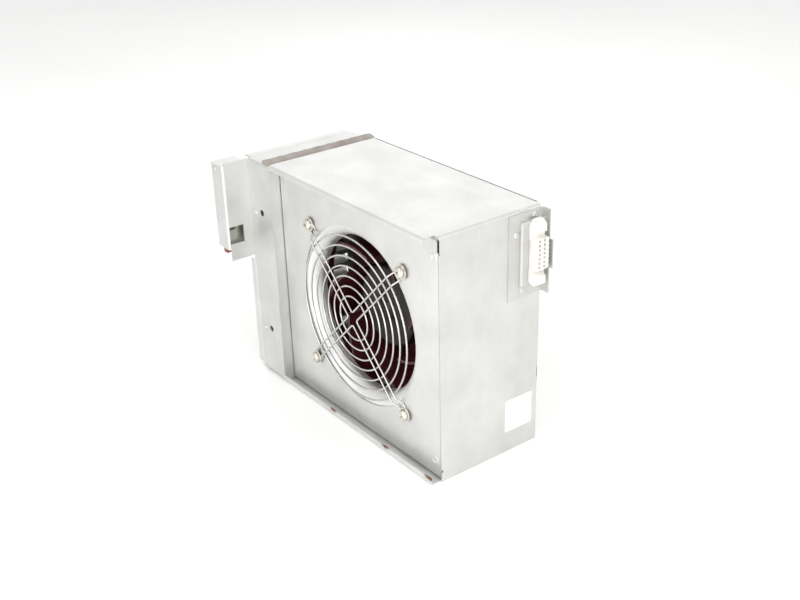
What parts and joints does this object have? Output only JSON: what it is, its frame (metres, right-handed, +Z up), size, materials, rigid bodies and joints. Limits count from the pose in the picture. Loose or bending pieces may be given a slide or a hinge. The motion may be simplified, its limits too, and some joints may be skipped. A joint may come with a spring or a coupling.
{
  "type": "server fan module",
  "caption": "Hot-swap blower module: galvanised box, wire-guarded side inlet, backward-curved impeller, louvred exhaust end, sprung slide latch and blind-mate connector.",
  "frame": {"origin": "middle of the whole module's footprint, at the underside of the box", "axes": "+X along the module towards its connector end, +Y from the fan inlet side into the box, +Z up"},
  "size_m": [0.239, 0.117, 0.1766],
  "materials": {
    "galvanised": "zinc coated sheet, semi-gloss with soft blurred reflections",
    "bright_wire": "bright nickel plated wire",
    "yellow_zinc": "yellow passivated zinc plating",
    "clear_zinc": "clear zinc plating",
    "maroon_nylon": "moulded glass filled nylon",
    "burgundy_nylon": "moulded nylon in the touch colour",
    "rotor_steel": "drawn steel with a thin dark coating",
    "ferrite": "sintered ferrite",
    "ground_steel": "ground bar",
    "die_cast": "die-cast alloy",
    "board": "green solder mask",
    "laminations": "stacked electrical steel",
    "copper": "enamelled copper wire",
    "foam": "conductive fabric over foam",
    "black_nylon": "moulded nylon",
    "spring_steel": "drawn spring wire",
    "white_nylon": "moulded natural nylon",
    "tin": "tin plated contacts",
    "jacket": "extruded vinyl jacket",
    "label_film": "bare satin film"
  },
  "bodies": {
    "frame": {"cover": "galvanised", "base": "galvanised", "inlet_panel": "galvanised", "inlet_ring": "galvanised", "finger_guard": "bright_wire", "guard_screws": "yellow_zinc", "guard_washers": "yellow_zinc", "guard_nuts": "clear_zinc", "bearings": "ground_steel", "motor_base": "die_cast", "drive_board": "board", "stator_core": "laminations", "stator_windings": "copper", "motor_bracket": "galvanised", "motor_screws": "clear_zinc", "foot_rivets": "clear_zinc", "collar": "galvanised", "strip_rivets": "clear_zinc", "gasket": "foam", "exhaust_grille": "galvanised", "latch_housing": "galvanised", "latch_pins": "clear_zinc", "latch_spring": "spring_steel", "connector_bracket": "galvanised", "connector_rivets": "clear_zinc", "connector_housing": "white_nylon", "connector_screws": "clear_zinc", "connector_contacts": "tin", "harness": "jacket", "label": "label_film"},
    "rotor": {"impeller": "maroon_nylon", "rotor_can": "rotor_steel", "rotor_magnet": "ferrite", "shaft": "ground_steel"},
    "latch": {"latch_slide": "burgundy_nylon", "latch_plate": "clear_zinc"}
  },
  "joints": [
    {"name": "fan_spin", "type": "hinge", "parent": "frame", "child": "rotor", "pos_m": [0.02001, 0.012, 0.0875], "axis": [0, 1, 0], "continuous": true},
    {"name": "latch_travel", "type": "slide", "parent": "frame", "child": "latch", "axis": [0, 0, 1], "range_m": [0, 0.006], "stiffness_N_per_m": 300, "springref_m": -0.004, "deforming": ["latch_spring"]}
  ]
}
